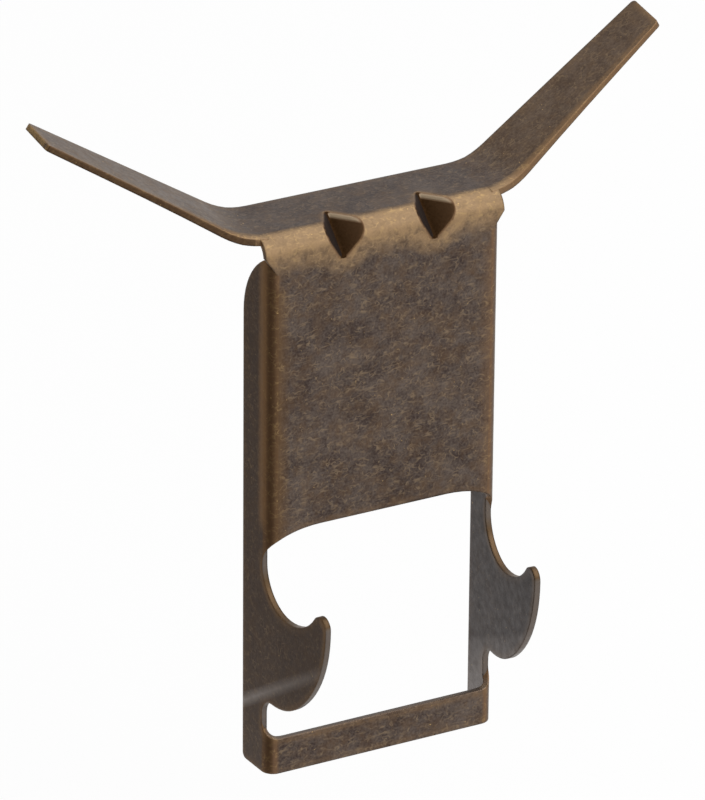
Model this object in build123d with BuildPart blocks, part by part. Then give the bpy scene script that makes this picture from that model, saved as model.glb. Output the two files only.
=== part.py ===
import os
from math import cos, radians, sin, tan

from build123d import *

# Brick clip: one stamped and folded piece of spring steel.
# X runs along the wall, Y into the wall, Z up. The origin is the middle of the brick's top front edge:
# the top flange lies on the brick at Z = 0 and the side flanges stand on its face at Y = 0.

# Sheet, and the brick that it spans
sheet = 0.6
brick_height = 57.0

# Folded body: front plate, side flanges and the strap below the window
body_width = 25.0
side_depth = 4.75
side_splay = 4.2
fold_radius = 1.3
side_top_radius = 7.9
side_top_drop = 8.4
side_corner = 0.6
strap_height = 3.8
window_corner_width = 5.0
window_corner_height = 3.65
notch_corner = 1.9

# Top strip: flange, rounded bend and sloping shoulders beside the folds
strip_width = 25.7
top_depth = 8.4
top_bend = 2.1
shoulder_level = 1.3
shoulder_height = 1.8
shoulder_width = 1.2

# Arms: tapered, swept back and bent up along lines askew to the flange
arm_length = 22.7
arm_offset = 0.85
arm_setback = 5.0
arm_rise = 31.9
arm_sweep = 9.6
arm_bend = 8.0
arm_root_width = 7.05
arm_tip_width = 4.7
arm_tip_corner = 0.4

# Hooks: round throat, nose, long back, heel and the notch above the strap
throat_height = 22.85
throat_radius = 4.4
throat_front_radius = 6.5
throat_front_turn = 55.0
nose_radius = 1.1
back_radius = 13.6
back_turn = 52.7
heel_radius = 7.4

# Stiffening darts pressed into the top bend
dart_spacing = 9.85
dart_shift = 0.3
dart_top_leg = 3.9
dart_front_leg = 3.4
dart_steep_angle = 38.0
dart_broad_angle = 54.0
dart_root = 0.3
dart_lip = 0.6

# Levels and edges that the pieces share
top = sheet
front = -side_depth
bottom = -brick_height
strap_top = bottom + strap_height
throat_level = bottom + throat_height
half_body = body_width / 2
half_strip = strip_width / 2
splay = tan(radians(side_splay))
fold_turn = radians(90 - side_splay)
fold_run = fold_radius * tan(fold_turn / 2)
fold_reach = fold_radius * sin(fold_turn / 2)
plate_bottom = throat_level + window_corner_height
flange_middle = (fold_run + side_depth) / 2

# Side flange's outer face, seen from the right: X runs back from the plate's face, Y is the height
side_face = Plane(origin=(half_body, front, 0), x_dir=(splay, 1, 0), z_dir=(1, -splay, 0))

with BuildPart() as hook:
    with BuildSketch(side_face):
        with BuildLine():
            throat = JernArc((fold_run, throat_level), (0, -1), throat_radius, -90)
            throat_front = JernArc(throat @ 1, throat % 1, throat_front_radius, -throat_front_turn)
            nose = JernArc(throat_front @ 1, throat_front % 1, nose_radius, 90 + throat_front_turn)
            back = JernArc(nose @ 1, nose % 1, back_radius, back_turn)
            heel = JernArc(back @ 1, back % 1, heel_radius, 90 - back_turn)
            notch = JernArc(heel @ 1, heel % 1, fold_run - (heel @ 1).X, -90)
            Polyline(
                notch @ 1,
                (fold_run, strap_top),
                (flange_middle, strap_top),
                (flange_middle, plate_bottom),
                (fold_run, plate_bottom),
                throat @ 0,
            )
        make_face()
    extrude(amount=-sheet)

# Right half of the window, cut square to the middle of the fold so that its corners run round the fold
half_turn = (cos(fold_turn / 2), sin(fold_turn / 2))
fold_face = Plane(
    origin=(half_body - fold_run, front + fold_radius, 0),
    x_dir=(half_turn[0], half_turn[1], 0),
    z_dir=(half_turn[1], -half_turn[0], 0),
)

with BuildPart() as window:
    with BuildSketch(fold_face) as opening:
        with BuildLine():
            upper_corner = EllipticalCenterArc(
                (fold_reach - window_corner_width, throat_level),
                x_radius=window_corner_width,
                y_radius=window_corner_height,
                start_angle=0,
                arc_size=90,
            )
            Polyline(
                upper_corner @ 1,
                (-half_body, plate_bottom),
                (-half_body, strap_top),
                (fold_reach, strap_top),
                upper_corner @ 0,
            )
        make_face()
        fillet(opening.vertices().group_by(Axis.X)[-1].sort_by(Axis.Y)[0], radius=notch_corner)
    extrude(amount=half_body, both=True)

with BuildPart() as body:
    with BuildSketch(Plane.XY.offset(bottom)):
        with BuildLine():
            Polyline(
                (-half_body, front),
                (half_body, front),
                (half_body + splay * side_depth, 0),
                (-half_body - splay * side_depth, 0),
                close=True,
            )
        make_face()
    extrude(amount=brick_height + top - top_bend)
    fillet(body.edges().filter_by(Axis.Z).group_by(Axis.Y)[0], radius=fold_radius)
    offset(amount=-sheet, openings=body.faces().filter_by(Axis.Z) + body.faces().sort_by(Axis.Y)[-1:])

    # Round top-back corners of the side flanges, and small ones at their feet
    with BuildSketch(Plane.YZ):
        with BuildLine():
            corner = CenterArc((-side_top_radius, -side_top_drop), side_top_radius, 0, 90)
            Polyline(
                corner @ 1,
                (-side_top_radius, side_top_drop),
                (side_depth, side_top_drop),
                (side_depth, -side_top_drop),
                corner @ 0,
            )
        make_face()
    extrude(amount=body_width, both=True, mode=Mode.SUBTRACT)
    feet = body.edges().filter_by(Axis.X).group_by(Axis.Z)[0]
    fillet(feet.group_by(Axis.Y)[-1], radius=side_corner)

    # The window, with the fold and the plate cut away between its round corners
    add(window.part, mode=Mode.SUBTRACT)
    add(mirror(window.part, about=Plane.YZ, mode=Mode.PRIVATE), mode=Mode.SUBTRACT)

# One arm: the strip's section swept up from where its bend starts in the flange, trimmed to the outline
sweep_turn = radians(arm_sweep)
rise_turn = radians(arm_rise)
arm_root = Vector(half_strip + arm_offset, front + arm_setback, top)
along = Vector(cos(sweep_turn), sin(sweep_turn), 0)
across = Vector(-sin(sweep_turn), cos(sweep_turn), 0)
uphill = along * cos(rise_turn) + Vector(0, 0, sin(rise_turn))
bend_start = -arm_bend * tan(rise_turn / 2)
roll_start = (Vector(half_strip, front + top_bend, top) - arm_root).dot(across)
root_back = (top_depth - arm_setback) / cos(sweep_turn)
root_front = root_back - arm_root_width
flange_back = root_back + top_depth * tan(sweep_turn) / cos(rise_turn)
tip_side = arm_tip_width / 2
tip_slant = tip_side * tan(sweep_turn) / cos(rise_turn)

with BuildPart() as arm:
    with BuildLine(Plane(origin=arm_root, x_dir=along, z_dir=-across)) as run:
        bend = JernArc((bend_start, 0), (1, 0), arm_bend, arm_rise)
        Line(bend @ 1, bend @ 1 + (bend % 1) * (arm_length + arm_tip_width))
    with BuildSketch(Plane(origin=arm_root + along * bend_start, x_dir=across, z_dir=along)):
        with BuildLine():
            outer = CenterArc((roll_start, -top_bend), top_bend, 90, 90)
            inner = CenterArc((roll_start, -top_bend), top_bend - sheet, 90, 90)
            Line(outer @ 1, inner @ 1)
            Polyline(inner @ 0, (top_depth, -sheet), (top_depth, 0), outer @ 0)
        make_face()
    sweep(path=run.wires()[0])
    with BuildSketch(Plane(origin=arm_root, x_dir=uphill, z_dir=uphill.cross(across))) as outline:
        with BuildLine():
            Polyline(
                (-top_depth, root_front),
                (0, root_front),
                (arm_length - tip_slant, -tip_side),
                (arm_length + tip_slant, tip_side),
                (0, root_back),
                (-top_depth, flange_back),
                close=True,
            )
        make_face()
        fillet(outline.vertices().sort_by(Axis.X)[-2:], radius=arm_tip_corner)
    extrude(amount=2 * top_depth, both=True, mode=Mode.INTERSECT)

# What the flange leaves free for an arm: all behind the top bend and beyond the start of the arm's bend
with BuildPart() as arm_room:
    with BuildSketch(Plane(origin=arm_root, x_dir=along, z_dir=(0, 0, 1))):
        with BuildLine():
            Polyline(
                (bend_start, roll_start),
                (arm_length, roll_start),
                (arm_length, top_depth),
                (bend_start, top_depth),
                close=True,
            )
        make_face()
    extrude(amount=top_bend, both=True)

# Outer skin of the head, filled: what the top flange and the dart ribs are kept inside
with BuildPart() as skin:
    with BuildSketch(Plane.YZ):
        with BuildLine():
            Polyline(
                (front, plate_bottom),
                (front, top),
                (front + top_depth, top),
                (front + top_depth, plate_bottom),
                close=True,
            )
        make_face()
    extrude(amount=half_strip, both=True)
    fillet(skin.edges().filter_by(Axis.X).group_by(Axis.Z)[-1].sort_by(Axis.Y)[0], radius=top_bend)

# Dart section, seen along its valley: X as the part's, Y out of the bend
dart_out = Vector(0, -dart_front_leg, dart_top_leg).normalized()
dart_plane = Plane(
    origin=(0, front + dart_top_leg / 2, top - dart_front_leg / 2),
    x_dir=(1, 0, 0),
    z_dir=Vector(1, 0, 0).cross(dart_out),
)
dart_height = dart_top_leg + dart_front_leg
dart_steep_side = dart_height * tan(radians(dart_steep_angle))
dart_broad_side = dart_height * tan(radians(dart_broad_angle))

with BuildPart() as groove:
    with BuildSketch(dart_plane) as groove_section:
        with BuildLine():
            Polyline((-dart_steep_side, dart_height), (0, 0), (dart_broad_side, dart_height), close=True)
        make_face()
        fillet(groove_section.vertices().sort_by(Axis.Y)[0], radius=dart_root)
    extrude(amount=dart_height, both=True)

with BuildPart() as rib:
    add(groove.part)
    offset(amount=sheet)
    add(skin.part, mode=Mode.INTERSECT)

with BuildPart() as head:
    add(skin.part)
    ends = head.faces().filter_by(Axis.X)
    back_and_under = head.faces().sort_by(Axis.Y)[-1:] + head.faces().sort_by(Axis.Z)[:1]
    offset(amount=-sheet, openings=ends + back_and_under)
    split(bisect_by=Plane.XY.offset(-shoulder_level - shoulder_height), keep=Keep.TOP)
    with BuildSketch(Plane.XZ.offset(-front)):
        with BuildLine():
            Polyline(
                (half_strip, -shoulder_level),
                (half_strip, -shoulder_level - shoulder_height),
                (half_strip - shoulder_width, -shoulder_level - shoulder_height),
                close=True,
            )
        make_face()
        mirror(about=Plane.YZ)
    extrude(amount=-top_bend, both=True, mode=Mode.SUBTRACT)
    add(arm_room.part, mode=Mode.SUBTRACT)
    add(mirror(arm_room.part, about=Plane.YZ, mode=Mode.PRIVATE), mode=Mode.SUBTRACT)

with BuildPart() as brick_clip:
    add(head.part)
    add(body.part)
    with Locations((dart_shift - dart_spacing / 2, 0, 0), (dart_shift + dart_spacing / 2, 0, 0)):
        add(rib.part)
        add(groove.part, mode=Mode.SUBTRACT)
    # Each dart's mouth is rounded all the way, starting from its two edges on the outside of the bend
    dart_curves = brick_clip.edges().filter_by(GeomType.ELLIPSE)
    dart_curves = dart_curves.filter_by_position(Axis.Z, -dart_front_leg, top)
    fillet(dart_curves.sort_by(SortBy.LENGTH)[-4:], radius=dart_lip)
    for side in (hook.part, arm.part):
        add(side)
        add(mirror(side, about=Plane.YZ, mode=Mode.PRIVATE))

brick_clip.part.label = "brick_clip"
os.makedirs("parts", exist_ok=True)
export_step(brick_clip.part, "parts/brick_clip.step")
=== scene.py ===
import math
import bpy
from mathutils import Matrix, Vector

mm = 0.001

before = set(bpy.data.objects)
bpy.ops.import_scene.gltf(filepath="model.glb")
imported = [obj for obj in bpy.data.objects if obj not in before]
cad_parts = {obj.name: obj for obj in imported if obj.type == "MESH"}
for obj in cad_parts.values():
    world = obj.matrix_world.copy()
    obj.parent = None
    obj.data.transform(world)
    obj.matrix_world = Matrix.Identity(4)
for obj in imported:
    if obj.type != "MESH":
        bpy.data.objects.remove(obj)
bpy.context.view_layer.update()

scene = bpy.context.scene
scene.view_settings.view_transform = "Standard"

# sockets that are set in pairs or by number, because a Mix node has several of one name
fromRange = ("From Min", "From Max")
toRange = ("To Min", "To Max")
mixShare, mixUnder, mixOver, mixResult = 0, 6, 7, 2

# what a Math or Vector Math node does with its values
product = {"operation": "MULTIPLY"}
greatest = {"operation": "MAXIMUM"}
difference = {"operation": "SUBTRACT"}
absolute = {"operation": "ABSOLUTE"}


def hexColour(text):
    # sRGB hex to the linear values that the shader takes
    srgb = [int(text[i:i + 2], 16) / 255 for i in (1, 3, 5)]
    return [c / 12.92 if c <= 0.04045 else ((c + 0.055) / 1.055) ** 2.4 for c in srgb] + [1.0]


def addNode(tree, kind, settings, links, result=0):
    # a setting is one of the node's properties, the value of one socket, or the values of a pair
    node = tree.nodes.new("ShaderNode" + kind)
    for name, value in settings.items():
        if isinstance(name, str) and hasattr(node, name):
            setattr(node, name, value)
        elif isinstance(name, tuple):
            for single, part in zip(name, value):
                node.inputs[single].default_value = part
        else:
            node.inputs[name].default_value = value
    for name, socket in links.items():
        tree.links.new(socket, node.inputs[name])
    return node.outputs[result] if node.outputs else None


hookFront = -5.2            # mm along Y, only the hooks reach further forwards
skinDepth = (1.06, 1.58)    # the skin's depth, from dark to middle

# the finish: steel plated with brass, blackened in a bath, then rubbed back by tumbling
# it reads as a dull brown-grey skin, clouded and scored with fine tan hairs, grey on the cut faces and
# inside the folds;
# beige on the top bend, brown beside the folds and tan along the rolled edges are partly wear and partly
# painted highlight and reflection, and the darts, the folds' crowns, the sides, the flat top and the inside
# of the folds are darkened with painted shade
clipFinish = {
    "colours": {
        "dark": "#423733",      # the skin where it is thickest, also laid on the flat top as painted shade
        "middle": "#6a5e56",    # and where it was rubbed thin
        "warm": "#66503c",
        "hair": "#8e7a63",
        # painted shade on the sides and hooks
        "shade": "#2e2727",
        # grey inside the folds, darkened as painted shade
        "inside": "#342c2b",
        # beige on the bend: partly wear, partly painted highlight
        "bend": "#846d52",
        "apron": "#a68967",     # below the bend, partly painted highlight
        "bright": "#b99a68",    # bare brass
        # brown on the folds, partly painted reflection, and as painted shade on the darts' broad walls
        "fold": "#795d45",
        "strip": "#94724f",
        "cut": "#6e6762",
        "throat": "#5a452d",    # above the hooks, and as painted shade beside the left fold
        # tan on the rolled arrises, partly painted highlight
        "arris": "#85694b",
        # painted shade on the left arm's front edge
        "armEdge": "#3a2b20",
        "paleStreak": "#b3aba6",
        "lip": "#a39078",       # painted highlight along the tops of the darts
        "hollow": "#38240f",    # painted shade, partly patina, in the darts, and painted shade on the folds' crowns
        "steep": "#352d2a",     # painted shade on the darts' steep walls
    },
    # patterns of the skin: size in mm, and how many finer layers it has
    "patterns": {
        "cloud": (4.0, 4.0),
        "mottle": (0.9, 4.0),
        "grain": (0.25, 2.0),
        "warmth": (1.4, 3.0),
        "fleck": (0.3, 1.0),
    },
    "patternRoughness": 0.6,
    "depthShares": {"mottle": 0.75, "cloud": 1.0, "grain": 0.9},    # what each adds to the skin's depth
    # hairs: contour lines of a noise, broken up by a second one
    # the real ones are finer and would not show, so these are drawn coarser
    "hairCurl": 0.7,                # mm
    "hairGap": 0.6,
    "hairLayers": 1.0,
    "hairContour": 0.5,             # value of the noise that the lines follow
    "hairWidth": 0.05,              # in values of that noise
    "hairBreaks": (0.50, 0.72),
    # each set: where its pattern starts in mm, and how far it is drawn out along X
    "hairSets": [((0, 0, 0), 2.4), ((37, 11, 5), 1.6), ((-21, 43, 17), 1.0)],
    # pale streaks across the low ends of the flanges: how far each falls towards the back, as a share of Y
    "streakFalls": {"leftFall": 0.66, "rightFall": 0.53},
    # distances in mm from the middle of a mark
    # the darts' valleys are two, half their spacing to either side of their shift along X
    "distances": {
        "fromValley": ("x", (0.3, 9.85 / 2)),
        "fromStrip": ("y", (-3.5,)),
        "fromStreak": ("leftFall", (-50.75,)),
    },
    # masks: what each is read from, between which limits, and its least and most
    # x, y, z, out, outwards and the distances are in mm, and the ways that a face looks run from -1 to 1
    "masks": {
        # places on the clip
        "below": ("z", (-4.0, -5.0), (0.0, 1.0)),               # plate, flanges and hooks, under the bend
        "onArm": ("out", (13.3, 13.4), (0.0, 1.0)),
        "onLeft": ("x", (0.0, -1.0), (0.0, 1.0)),
        "onRight": ("x", (0.0, 1.0), (0.0, 1.0)),
        "sideways": ("aside", (0.8, 0.95), (0.0, 1.0)),
        "upright": ("ahead", (0.8, 1.0), (0.0, 1.0)),
        # the blackened skin
        "skin": ("depth", skinDepth, (0.0, 1.0)),
        "uneven": ("depth", skinDepth, (0.7, 1.0)),
        "warm": ("warmth", (0.45, 0.75), (0.0, 0.6)),
        "flecks": ("fleck", (0.75, 0.83), (0.0, 1.0)),
        "patches": ("mottle", (0.3, 0.55), (0.0, 1.0)),
        # painted shade, on the sideways faces in clouds and on the hooks
        "shade": ("cloud", (0.4, 0.65), (0.0, 0.6)),
        "hookShade": ("y", (hookFront, hookFront - 3.0), (0.0, 0.25)),
        # inside the folds and on the back
        "inwards": ("outwards", (0.0, -6.0), (0.0, 1.0)),
        "notUp": ("faceZ", (0.5, 0.2), (0.0, 1.0)),
        "backwards": ("faceY", (0.2, 0.6), (0.0, 0.4)),
        # the top and the arms, with painted shade on the flat top and the arms' tops
        "flatTop": ("up", (0.9, 1.0), (0.0, 0.3)),
        "armTop": ("up", (0.5, 0.7), (0.0, 0.25)),
        "armEdge": ("ahead", (0.6, 0.8), (0.0, 0.7)),           # painted shade on the left arm's front edge
        "tip": ("aside", (0.6, 0.7), (0.0, 0.55)),
        # the darts
        "dartWalls": ("leaning", (0.03, 0.13), (0.0, 1.0)),
        "valley": ("fromValley", (0.5, 0.35), (0.0, 1.0)),
        "pressed": ("topBend", (0.2, 0.3), (0.0, 1.0)),
        "dartReach": ("out", (10.0, 9.0), (0.0, 1.0)),          # both lie nearer to the middle than this
        "lipHeight": ("z", (0.1, 0.3), (0.0, 1.0)),
        "broadWall": ("faceX", (-0.2, -0.4), (0.0, 1.0)),
        "steepWall": ("faceX", (0.15, 0.4), (0.0, 1.0)),
        "darkFade": ("fromValley", (0.0, 2.2), (1.0, 0.6)),     # painted shade on a broad wall fades from dark to brown
        "darkGrain": ("grain", (0.3, 0.7), (0.85, 1.0)),
        # beige on the bend and below it, partly wear and partly painted highlight, lower by up to the
        # halo's mm round the darts' feet
        "beige": ("topBend", (0.03, 0.25), (0.0, 1.0)),
        "halo": ("fromValley", (3.2, 1.0), (0.0, 1.2)),
        "apronUneven": ("mottle", (0.3, 0.55), (0.4, 1.0)),
        # the folds, the plate's sides down to its lower edge, the strip on the side flange above the hook
        "fold": ("sideFold", (0.03, 0.2), (0.0, 1.0)),
        # painted shade on the folds' crowns
        "crown": ("sideFold", (0.36, 0.50), (0.0, 0.55)),
        "plateSide": ("out", (10.2, 12.4), (0.0, 1.0)),
        "plateEnd": ("z", (-33.0, -32.0), (0.0, 1.0)),
        "strip": ("fromStrip", (0.9, 0.18), (0.0, 1.0)),
        "outside": ("outwards", (9.0, 11.0), (0.0, 1.0)),
        "aboveHook": ("z", (-31.0, -29.0), (0.0, 1.0)),
        # cut faces: the sheet stands edge on to the front in the sides and in the hooks
        "sideCut": ("out", (11.8, 11.9), (0.0, 1.0)),
        "hookCut": ("y", (hookFront, hookFront - 0.4), (0.0, 1.0)),
        "across": ("aside", (0.45, 0.3), (0.0, 1.0)),
        "plateCut": ("level", (0.6, 0.8), (0.0, 0.5)),
        "throat": ("faceZ", (0.1, 0.4), (0.0, 0.85)),
        # rolled arrises, tan partly from wear and partly painted highlight, less where they face backwards
        # or down, and not in corners or on the bend
        "arris": ("sameNormal", (0.999, 0.96), (0.0, 0.9)),
        "backRoll": ("leanY", (0.02, 0.12), (1.0, 0.3)),
        "lowRoll": ("leanZ", (-0.02, -0.12), (1.0, 0.55)),
        "openRoll": ("openness", (0.8, 0.95), (0.0, 1.0)),
        "wornRoll": ("mottle", (0.35, 0.6), (0.5, 1.0)),
        "offBend": ("topBend", (0.3, 0.1), (0.0, 1.0)),
        # pale streaks: a line on the left flange, the low end inside the right one
        "looksLeft": ("faceX", (-0.9, -0.98), (0.0, 1.0)),
        "leftStreak": ("fromStreak", (1.0, 0.0), (0.0, 0.8)),
        "fading": ("y", (-15.0, 0.0), (0.2, 1.0)),
        "broken": ("mottle", (0.3, 0.6), (0.6, 1.0)),
        "rightStreak": ("rightFall", (-49.6, -50.3), (0.0, 0.1)),
        "lowStreak": ("rightFall", (-51.0, -54.0), (0.0, 0.2)),
        # gloss
        "rough": ("mottle", (0.3, 0.7), (0.36, 0.52)),
    },
    "apronFade": (-3.3, -1.4),      # mm in Z, the beige below the bend fades out over this height
    "lipHollow": 0.1,               # what is left of the dark under a dart's pale lip
    "insideRoll": 0.4,              # and of the tan on arrises inside the folds and on cut faces
    "cutRoll": 0.2,
    "hairShare": 0.75,
    "insideShare": 0.75,
    "brightShare": 0.5,
    "cutShare": 0.8,
    "leftSideShare": 0.8,           # painted shade: the plate's left side is a darker brown
    "rollRadius": 0.3,              # mm, the cut edges are rolled and tumbled round
    "rollWidth": 1.3,               # mm of tan along them
    "rollSamples": 8,
    "openReach": 2.0,               # mm, walls nearer than this make a corner
    "openSamples": 16,
    "dartRoughness": 0.8,
    "bumpStrength": 0.5,
    "bumpHeight": 0.012,            # mm
    "hairDepth": -0.5,              # the hairs are cut into the grain
}


def antiquedBrass(look):
    mat = bpy.data.materials.new("antiqued_brass_plated_steel")
    mat.use_nodes = True
    tree = mat.node_tree
    tree.nodes.clear()

    coord = addNode(tree, "TexCoord", {}, {}).node.outputs
    place = addNode(tree, "VectorMath", {"operation": "SCALE", "Scale": 1 / mm}, {0: coord["Object"]})
    at = addNode(tree, "SeparateXYZ", {}, {0: place}).node.outputs
    facing = addNode(tree, "SeparateXYZ", {}, {0: coord["Normal"]}).node.outputs

    # what the masks are read from: places in mm, and the ways that the sheet faces
    read = {axis.lower(): at[axis] for axis in "XYZ"}
    read.update({"face" + axis: facing[axis] for axis in "XYZ"})
    for name, source in (("out", "x"), ("aside", "faceX"), ("level", "faceZ")):
        read[name] = addNode(tree, "Math", absolute, {0: read[source]})
    read["up"] = addNode(tree, "Math", {**greatest, 1: 0.0}, {0: facing["Z"]})
    read["ahead"] = addNode(tree, "MapRange", {fromRange: (0.0, -1.0)}, {"Value": facing["Y"]})
    for name, one, other in (
        ("outwards", "x", "faceX"),     # below zero inside the folds
        ("topBend", "up", "ahead"),
        ("leaning", "topBend", "aside"),    # the darts' walls lean three ways at once
        ("sideFold", "aside", "ahead"),
    ):
        read[name] = addNode(tree, "Math", product, {0: read[one], 1: read[other]})
    for name, fall in look["streakFalls"].items():
        read[name] = addNode(tree, "Math", {"operation": "MULTIPLY_ADD", 1: fall}, {0: at["Y"], 2: at["Z"]})
    for name, (source, middles) in look["distances"].items():
        read[name] = read[source]
        for middle in middles:
            moved = addNode(tree, "Math", {**difference, 1: middle}, {0: read[name]})
            read[name] = addNode(tree, "Math", absolute, {0: moved})

    # clouds, mottle and grain of the blackened skin, warmer in places
    for name, (size, layers) in look["patterns"].items():
        read[name] = addNode(tree, "TexNoise", {
            "Scale": 1 / size,
            "Detail": layers,
            "Roughness": look["patternRoughness"],
        }, {"Vector": place})
    for name, share in look["depthShares"].items():
        links = {0: read[name], 2: read["depth"]} if "depth" in read else {0: read[name]}
        read["depth"] = addNode(tree, "Math", {"operation": "MULTIPLY_ADD", 1: share, 2: 0.0}, links)

    # an arris is where a rounded normal leaves the real one, and a corner is where little light gets in
    normal = addNode(tree, "NewGeometry", {}, {}, "Normal")
    rounded = addNode(tree, "Bevel", {"samples": look["rollSamples"], "Radius": look["rollWidth"] * mm}, {})
    read["sameNormal"] = addNode(tree, "VectorMath", {"operation": "DOT_PRODUCT"},
                                 {0: rounded, 1: normal}, "Value")
    lean = addNode(tree, "VectorMath", difference, {0: rounded, 1: normal})
    lean = addNode(tree, "SeparateXYZ", {}, {0: lean}).node.outputs
    read["leanY"], read["leanZ"] = lean["Y"], lean["Z"]
    read["openness"] = addNode(tree, "AmbientOcclusion", {
        "samples": look["openSamples"],
        "Distance": look["openReach"] * mm,
    }, {}, "AO")

    mask = {name: addNode(tree, "MapRange", {fromRange: limits, toRange: values}, {"Value": read[source]})
            for name, (source, limits, values) in look["masks"].items()}

    # fine curled hairs
    hairs = None
    for begin, drawn in look["hairSets"]:
        lie = addNode(tree, "Mapping", {
            "vector_type": "TEXTURE",
            "Location": begin,
            "Scale": (drawn, 1.0, 1.0),
        }, {"Vector": place})
        curl, gap = (addNode(tree, "TexNoise", {"Scale": 1 / look[size], "Detail": look["hairLayers"]},
                             {"Vector": lie}) for size in ("hairCurl", "hairGap"))
        curl = addNode(tree, "Math", {**difference, 1: look["hairContour"]}, {0: curl})
        curl = addNode(tree, "Math", absolute, {0: curl})
        curl = addNode(tree, "MapRange", {fromRange: (look["hairWidth"], 0.0)}, {"Value": curl})
        gap = addNode(tree, "MapRange", {fromRange: look["hairBreaks"]}, {"Value": gap})
        hair = addNode(tree, "Math", product, {0: curl, 1: gap})
        hairs = addNode(tree, "Math", greatest, {0: hairs, 1: hair}) if hairs else hair

    # painted shade on the sides, in clouds, and most of all on the hooks
    shade, hookShade = (addNode(tree, "Math", product, {0: mask[name], 1: mask["sideways"]})
                        for name in ("shade", "hookShade"))

    # inside the folds the sheet was never scored: smooth and grey, darkened further as painted shade
    inside = addNode(tree, "Math", product, {0: mask["inwards"], 1: mask["notUp"]})
    inside = addNode(tree, "Math", greatest, {0: inside, 1: mask["backwards"]})

    # painted shade on the flat top, and a little less on the arms' tops
    top = addNode(tree, "Math", product, {0: mask["armTop"], 1: mask["onArm"]})
    top = addNode(tree, "Math", greatest, {0: top, 1: mask["flatTop"]})

    # the darts across the top bend stay dark with painted shade, partly patina: their steep walls grey, the
    # broad ones brown with painted highlights on pale lips
    dart = addNode(tree, "Math", product, {0: mask["valley"], 1: mask["pressed"]})
    dart = addNode(tree, "Math", greatest, {0: dart, 1: mask["dartWalls"]})
    dart = addNode(tree, "Math", product, {0: dart, 1: mask["dartReach"]})
    notDart = addNode(tree, "Math", {**difference, 0: 1.0}, {1: dart})
    lip = mask["lipHeight"]
    for share in (mask["broadWall"], dart):
        lip = addNode(tree, "Math", product, {0: lip, 1: share})
    hollow = addNode(tree, "MapRange", {toRange: (1.0, look["lipHollow"])}, {"Value": lip})
    hollow = addNode(tree, "Math", product, {0: hollow, 1: dart})
    steep = mask["steepWall"]
    for share in (dart, mask["darkGrain"]):
        steep = addNode(tree, "Math", product, {0: steep, 1: share})

    # beige on the bend itself, which faces up and forwards, and fading out below it: partly rubbed wear,
    # partly painted highlight
    beige = mask["beige"]
    for share in (notDart, mask["uneven"]):
        beige = addNode(tree, "Math", product, {0: beige, 1: share})
    apron = addNode(tree, "Math", {"operation": "ADD"}, {0: mask["halo"], 1: at["Z"]})
    apron = addNode(tree, "MapRange", {fromRange: look["apronFade"]}, {"Value": apron})
    for share in (mask["upright"], mask["apronUneven"], mask["uneven"], notDart):
        apron = addNode(tree, "Math", product, {0: apron, 1: share})

    # brown on the folds, partly wear and partly painted reflection, on the plate's sides and in a strip on
    # the side flange, with bright hairs
    plateSide = mask["plateSide"]
    for name in ("upright", "below", "plateEnd"):
        plateSide = addNode(tree, "Math", product, {0: plateSide, 1: mask[name]})
    leftSide = addNode(tree, "Math", product, {0: plateSide, 1: mask["onLeft"]})
    fold = addNode(tree, "Math", greatest, {0: mask["fold"], 1: plateSide})
    fold = addNode(tree, "Math", product, {0: fold, 1: mask["uneven"]})
    strip = mask["strip"]
    for name in ("outside", "aboveHook", "uneven"):
        strip = addNode(tree, "Math", product, {0: strip, 1: mask[name]})
    brightHairs = addNode(tree, "Math", greatest, {0: beige, 1: fold})
    brightHairs = addNode(tree, "Math", greatest, {0: brightHairs, 1: apron})
    brightHairs = addNode(tree, "Math", product, {0: brightHairs, 1: hairs})

    # painted shade, partly patina, in the darts, and painted shade on the folds' crowns
    dark = addNode(tree, "Math", product, {0: hollow, 1: mask["darkFade"]})
    dark = addNode(tree, "Math", greatest, {0: dark, 1: mask["crown"]})
    dark = addNode(tree, "Math", product, {0: dark, 1: mask["darkGrain"]})

    # cut faces: those across the sheet, which faces X at the sides and Y in the plate; brown in the throats
    notArm = addNode(tree, "Math", {**difference, 0: 1.0}, {1: mask["onArm"]})
    sideCut = addNode(tree, "Math", greatest, {0: mask["sideCut"], 1: mask["hookCut"]})
    for share in (notArm, mask["below"], mask["across"]):
        sideCut = addNode(tree, "Math", product, {0: sideCut, 1: share})
    plateCut = addNode(tree, "Math", product, {0: mask["plateCut"], 1: mask["below"]})
    cut = addNode(tree, "Math", greatest, {0: sideCut, 1: plateCut})
    throat = addNode(tree, "Math", product, {0: mask["throat"], 1: sideCut})

    # tan on the rolled arrises, partly wear and partly painted highlight, less inside the folds and on cut
    # faces
    arris = mask["arris"]
    for name in ("backRoll", "lowRoll", "openRoll", "wornRoll", "offBend"):
        arris = addNode(tree, "Math", product, {0: arris, 1: mask[name]})
    for share, left in ((inside, look["insideRoll"]), (cut, look["cutRoll"])):
        share = addNode(tree, "MapRange", {toRange: (1.0, left)}, {"Value": share})
        arris = addNode(tree, "Math", product, {0: arris, 1: share})

    # the arms: painted shade on the left one's front edge, tan ends on both
    armEdge = mask["armEdge"]
    for name in ("onArm", "onLeft", "uneven"):
        armEdge = addNode(tree, "Math", product, {0: armEdge, 1: mask[name]})
    tip = mask["tip"]
    for name in ("onArm", "patches"):
        tip = addNode(tree, "Math", product, {0: tip, 1: mask[name]})

    # pale streaks on the faces that look left
    line = mask["leftStreak"]
    for name in ("fading", "broken", "onLeft"):
        line = addNode(tree, "Math", product, {0: line, 1: mask[name]})
    low = addNode(tree, "Math", {"operation": "ADD"}, {0: mask["rightStreak"], 1: mask["lowStreak"]})
    low = addNode(tree, "Math", product, {0: low, 1: mask["onRight"]})
    paleStreak = addNode(tree, "Math", greatest, {0: line, 1: low})
    paleStreak = addNode(tree, "Math", product, {0: paleStreak, 1: mask["looksLeft"]})

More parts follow.
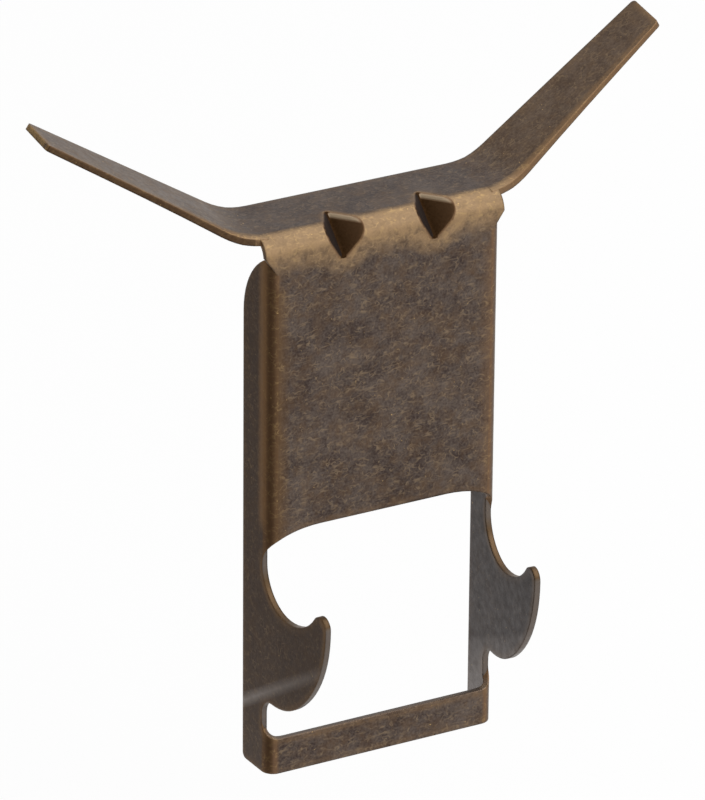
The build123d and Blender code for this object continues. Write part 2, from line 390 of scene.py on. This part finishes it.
    # all coats in the order in which they are laid on: where, in which colour, and how thickly
    colours = {name: hexColour(text) for name, text in look["colours"].items()}
    colour = addNode(tree, "Mix", {
        "data_type": "RGBA",
        mixUnder: colours["dark"],
        mixOver: colours["middle"],
    }, {mixShare: mask["skin"]}, mixResult)
    for share, coat, thickness in (
        (mask["warm"], "warm", 1.0),
        (hairs, "hair", look["hairShare"]),
        (shade, "shade", 1.0),
        (inside, "inside", look["insideShare"]),
        (hookShade, "shade", 1.0),
        (top, "dark", 1.0),
        (beige, "bend", 1.0),
        (apron, "apron", 1.0),
        (fold, "fold", 1.0),
        (leftSide, "throat", look["leftSideShare"]),
        (brightHairs, "bright", look["brightShare"]),
        (strip, "strip", 1.0),
        (cut, "cut", look["cutShare"]),
        (throat, "throat", 1.0),
        (arris, "arris", 1.0),
        (armEdge, "armEdge", 1.0),
        (tip, "bright", 1.0),
        (mask["flecks"], "bright", 1.0),
        (paleStreak, "paleStreak", 1.0),
        (dart, "fold", 1.0),
        (lip, "lip", 1.0),
        (dark, "hollow", 1.0),
        (steep, "steep", 1.0),
    ):
        if thickness < 1:
            share = addNode(tree, "Math", {**product, 1: thickness}, {0: share})
        colour = addNode(tree, "Mix", {"data_type": "RGBA", mixOver: colours[coat]},
                         {mixShare: share, mixUnder: colour}, mixResult)

    # semi-matt, dull in the darts, with the grain and the hairs as relief on softly rolled edges
    rough = addNode(tree, "Math", {**product, 1: look["dartRoughness"]}, {0: hollow})
    rough = addNode(tree, "Math", greatest, {0: rough, 1: mask["rough"]})
    height = addNode(tree, "Math", {"operation": "MULTIPLY_ADD", 1: look["hairDepth"]},
                     {0: hairs, 2: read["grain"]})
    roll = addNode(tree, "Bevel", {"samples": look["rollSamples"], "Radius": look["rollRadius"] * mm}, {})
    bump = addNode(tree, "Bump", {"Strength": look["bumpStrength"], "Distance": look["bumpHeight"] * mm},
                   {"Height": height, "Normal": roll})
    shader = addNode(tree, "BsdfPrincipled", {"Metallic": 1.0},
                     {"Base Color": colour, "Roughness": rough, "Normal": bump})
    addNode(tree, "OutputMaterial", {}, {"Surface": shader})
    return mat


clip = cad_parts["brick_clip"]
finish = antiquedBrass(clipFinish)
for slot in clip.material_slots:
    slot.material = finish
print("finished the clip")

# the studio: a pale floor some way below the clip, a white room, two softboxes and a grey card on the left
studio = {
    "floorLevel": -80.0,      # mm
    "floorSize": 4000.0,
    "floorColour": "#fafafa",
    "floorWhite": 0.9,        # how much of the floor is seen as plain white, the rest takes the shadow
    "roomLight": 0.6,
    "lamps": {                # place, aim and size in mm, watts
        "overhead": ((400, -250, 650), (400, -250, 0), (900, 1300), 5.5),
        "front": ((330, -620, 300), (0, 0, -20), (420, 420), 0.6),
    },
    "cardStart": -32.0,       # mm, the card lies on the floor from here and turns up further left
    "cardTurn": -260.0,
    "cardTop": 330.0,
    "cardEnds": (-260.0, 450.0),
    "cardLift": 0.5,          # mm above the floor
    "cardSlack": 1.0,         # mm within which an edge counts as lying on the turn
    "cardColour": "#b4b2b0",
}


def whiteSeen(tree):
    # 1 for the rays that see the background: the camera's own, and those in metal and glass
    path = addNode(tree, "LightPath", {}, {}).node.outputs
    seen = path["Is Camera Ray"]
    for kind in ("Is Glossy Ray", "Is Transmission Ray"):
        seen = addNode(tree, "Math", greatest, {0: seen, 1: path[kind]})
    return seen


def whiteRoom(look):
    # the room is white to the eye, and lights the clip at a lower level
    world = bpy.data.worlds.new("white_room")
    scene.world = world
    world.use_nodes = True
    tree = world.node_tree
    tree.nodes.clear()
    level = addNode(tree, "MapRange", {toRange: (look["roomLight"], 1.0)}, {"Value": whiteSeen(tree)})
    room = addNode(tree, "Background", {}, {"Strength": level})
    addNode(tree, "OutputWorld", {}, {"Surface": room})


def paleFloor(look):
    bpy.ops.object.select_all(action="DESELECT")
    bpy.ops.mesh.primitive_plane_add(size=look["floorSize"] * mm, location=(0, 0, look["floorLevel"] * mm))
    bpy.ops.object.transform_apply(location=True, rotation=False, scale=False)
    floor = bpy.context.object
    floor.name = "floor"
    mat = bpy.data.materials.new("matt_white_paper")    # matt, so it only takes a soft shadow
    mat.use_nodes = True
    tree = mat.node_tree
    tree.nodes.clear()
    share = addNode(tree, "MapRange", {toRange: (0.0, look["floorWhite"])}, {"Value": whiteSeen(tree)})
    paper = addNode(tree, "BsdfDiffuse", {"Color": hexColour(look["floorColour"])}, {})
    white = addNode(tree, "Emission", {"Strength": 1.0}, {})
    mixed = addNode(tree, "MixShader", {}, {0: share, 1: paper, 2: white})
    addNode(tree, "OutputMaterial", {}, {"Surface": mixed})
    floor.data.materials.append(mat)


def sideCard(look):
    # what the clip's left sides mirror, and nothing else: no camera sees it and the floor stays evenly lit
    bpy.ops.object.select_all(action="DESELECT")
    near, far = look["cardEnds"]
    wide = look["cardStart"] - look["cardTurn"]
    low = look["floorLevel"] + look["cardLift"]
    middle = (look["cardStart"] - wide / 2, (near + far) / 2, low)
    bpy.ops.mesh.primitive_plane_add(size=1)
    card = bpy.context.object
    card.name = "side_card"
    bpy.ops.object.mode_set(mode="EDIT")
    bpy.ops.transform.resize(value=(wide * mm, (far - near) * mm, 1))
    bpy.ops.transform.translate(value=Vector(middle) * mm)
    bpy.ops.object.mode_set(mode="OBJECT")
    turnLine = (look["cardTurn"] + look["cardSlack"]) * mm
    for face in card.data.polygons:
        face.select = False
    for vert in card.data.vertices:
        vert.select = vert.co.x < turnLine
    for edge in card.data.edges:
        edge.select = all(card.data.vertices[v].co.x < turnLine for v in edge.vertices)
    bpy.ops.object.mode_set(mode="EDIT")
    bpy.ops.mesh.select_mode(type="EDGE")
    bpy.ops.mesh.extrude_region_move(TRANSFORM_OT_translate={"value": (0, 0, (look["cardTop"] - low) * mm)})
    bpy.ops.object.mode_set(mode="OBJECT")
    mat = bpy.data.materials.new("matt_grey_board")     # matt and mid grey: the flanges mirror an even tone
    mat.use_nodes = True
    tree = mat.node_tree
    tree.nodes.clear()
    board = addNode(tree, "BsdfDiffuse", {"Color": hexColour(look["cardColour"])}, {})
    addNode(tree, "OutputMaterial", {}, {"Surface": board})
    card.data.materials.append(mat)
    card.visible_camera = card.visible_diffuse = card.visible_shadow = False


def softLamps(look):
    for name, (place, aim, size, watts) in look["lamps"].items():
        data = bpy.data.lights.new(name, "AREA")
        data.shape = "RECTANGLE"
        data.size, data.size_y = size[0] * mm, size[1] * mm
        data.energy = watts
        lamp = bpy.data.objects.new(name, data)
        scene.collection.objects.link(lamp)
        lamp.location = Vector(place) * mm
        lamp.rotation_euler = (Vector(aim) - Vector(place)).to_track_quat("-Z", "Y").to_euler()


whiteRoom(studio)
paleFloor(studio)
sideCard(studio)
softLamps(studio)
print("lit the studio")

# the camera stands left of the front and above, a long way off with a long lens
cameraFit = {
    "aim": (0.0, -4.75, -29.4),       # mm, a point on the plate's face
    "left": 0.4868121,                # radians
    "above": 0.4559895,
    "roll": 0.0088885,
    "distance": 755.836,              # mm
    "aside": (3.00922, -9.53816),     # mm that the aim lies right of and above the middle of the image
    "lens": 398.2392,                 # mm
    "sensor": 36.0,                   # mm
    "clip": (0.01, 20.0),             # metres
}


def photoCamera(look):
    left, above, roll = look["left"], look["above"], look["roll"]
    back = Vector((-math.sin(left) * math.cos(above), -math.cos(left) * math.cos(above), math.sin(above)))
    right = Vector((math.cos(left), -math.sin(left), 0.0))
    up = back.cross(right)
    right, up = (math.cos(roll) * right + math.sin(roll) * up, math.cos(roll) * up - math.sin(roll) * right)
    aside, over = look["aside"]
    eye = (Vector(look["aim"]) + back * look["distance"] - right * aside - up * over) * mm
    data = bpy.data.cameras.new("photo_camera")
    data.sensor_fit = "HORIZONTAL"
    data.sensor_width = look["sensor"]
    data.lens = look["lens"]
    data.clip_start, data.clip_end = look["clip"]
    camera = bpy.data.objects.new("photo_camera", data)
    scene.collection.objects.link(camera)
    turn = Matrix((right, up, back)).transposed().to_4x4()
    camera.matrix_world = Matrix.Translation(eye) @ turn
    scene.camera = camera


photoCamera(cameraFit)
print("placed the camera")
